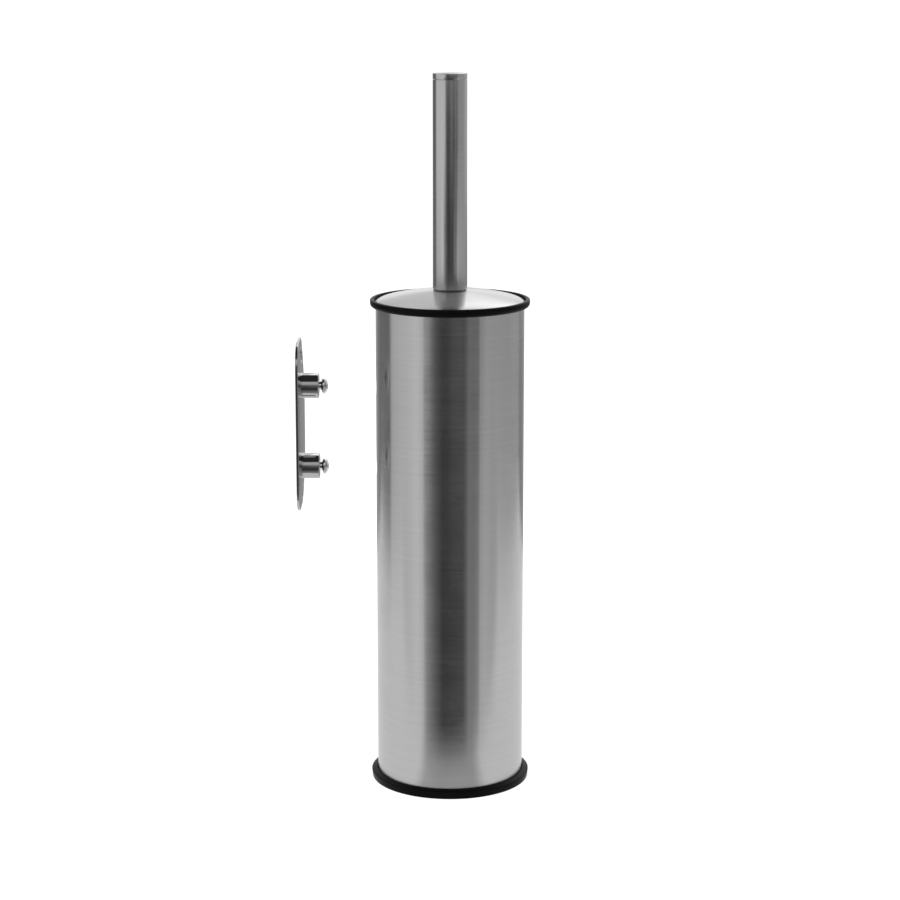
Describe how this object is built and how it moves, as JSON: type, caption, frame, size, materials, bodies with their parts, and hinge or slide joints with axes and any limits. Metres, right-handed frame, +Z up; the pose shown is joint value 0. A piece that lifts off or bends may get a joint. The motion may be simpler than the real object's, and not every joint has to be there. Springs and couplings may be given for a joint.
{
  "type": "toilet brush holder",
  "caption": "Slim cylindrical toilet brush holder in brushed steel with black rim and base, a long-handled brush in a domed lid, and a wall bracket that hooks into keyholes.",
  "frame": {"origin": "on the tube's axis, on the underside of the base, at floor level", "axes": "+Z up along the tube and handle, -X towards the wall bracket, -Y towards the viewer"},
  "size_m": [0.1259, 0.087, 0.3873],
  "materials": {
    "brushed_steel": "brushed, satin",
    "plain_steel": "drawn rod, plain",
    "screw_steel": "bright plated",
    "polished_chrome": "mirror polished",
    "black_plastic": "moulded, fine texture",
    "cup_plastic": "moulded, smooth",
    "hub_plastic": "moulded, smooth",
    "nylon_bristle": "nylon filaments"
  },
  "bodies": {
    "holder": {"outer_tube": "brushed_steel", "rim_ring": "black_plastic", "base_cap": "black_plastic", "drip_cup": "cup_plastic"},
    "lid": {"lid_cover": "brushed_steel", "lid_locating_ring": "black_plastic", "lid_bush": "black_plastic"},
    "brush": {"handle_tube": "brushed_steel", "handle_end_cap": "brushed_steel", "handle_plug": "black_plastic", "foot_washer": "plain_steel", "stem": "plain_steel", "stem_retaining_ring": "plain_steel", "brush_hub": "hub_plastic", "bristle_row_01": "nylon_bristle", "bristle_row_02": "nylon_bristle", "bristle_row_03": "nylon_bristle", "bristle_row_04": "nylon_bristle", "bristle_row_05": "nylon_bristle", "bristle_row_06": "nylon_bristle", "bristle_row_07": "nylon_bristle", "bristle_row_08": "nylon_bristle", "bristle_row_09": "nylon_bristle", "bristle_row_10": "nylon_bristle", "bristle_tip": "nylon_bristle"},
    "wall_bracket": {"wall_plate": "polished_chrome", "boss_upper": "polished_chrome", "boss_lower": "polished_chrome", "hook_screw_upper": "screw_steel", "hook_screw_lower": "screw_steel"}
  },
  "joints": [
    {"name": "brush_lift", "type": "slide", "parent": "holder", "child": "lid", "axis": [0, 0, 1], "range_m": [0, 0.28]},
    {"name": "brush_spin", "type": "hinge", "parent": "lid", "child": "brush", "pos_m": [0, 0, 0.273], "axis": [0, 0, 1], "continuous": true},
    {"name": "bracket_dock", "type": "slide", "parent": "holder", "child": "wall_bracket", "axis": [1, 0, 0], "range_m": [0, 0.0305]}
  ]
}
